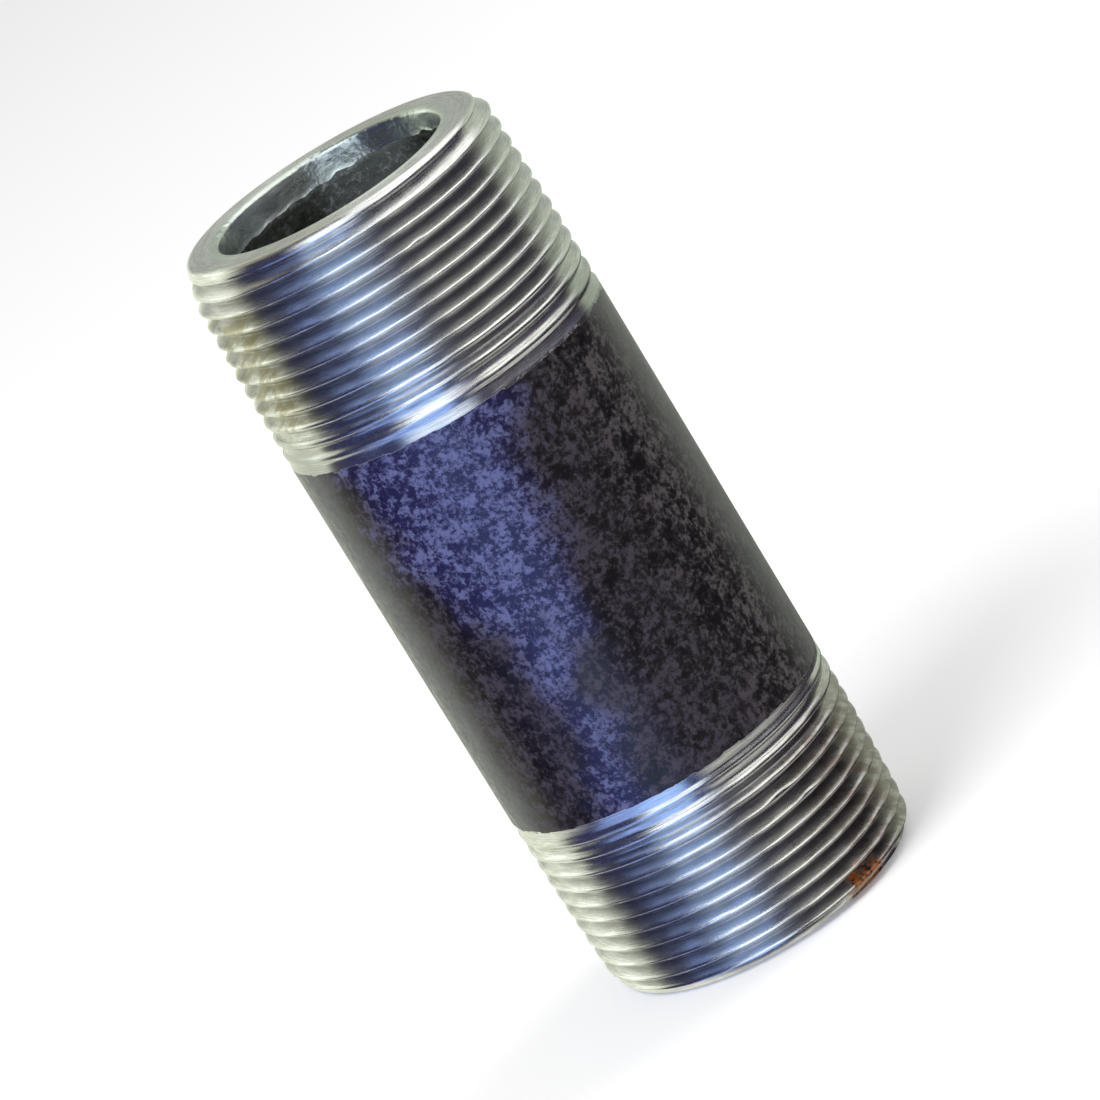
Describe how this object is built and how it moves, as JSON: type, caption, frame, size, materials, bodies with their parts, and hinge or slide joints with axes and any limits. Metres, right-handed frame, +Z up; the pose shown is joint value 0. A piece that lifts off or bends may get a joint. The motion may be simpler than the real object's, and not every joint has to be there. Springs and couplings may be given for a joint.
{
  "type": "pipe nipple",
  "caption": "Short straight steel pipe with a taper pipe thread cut on each end and a plain black run between them, open right through.",
  "frame": {"origin": "centre of the lower cut end, on the ground", "axes": "+Z up along the bore from the lower cut end to the upper one; -Y is the side that faces the viewer"},
  "size_m": [0.0422, 0.0422, 0.103],
  "materials": {
    "steel": "black mill finish between the threads; threads, chamfers and cut faces bright bare steel"
  },
  "bodies": {
    "root": {"pipe_nipple": "steel"}
  },
  "joints": []
}
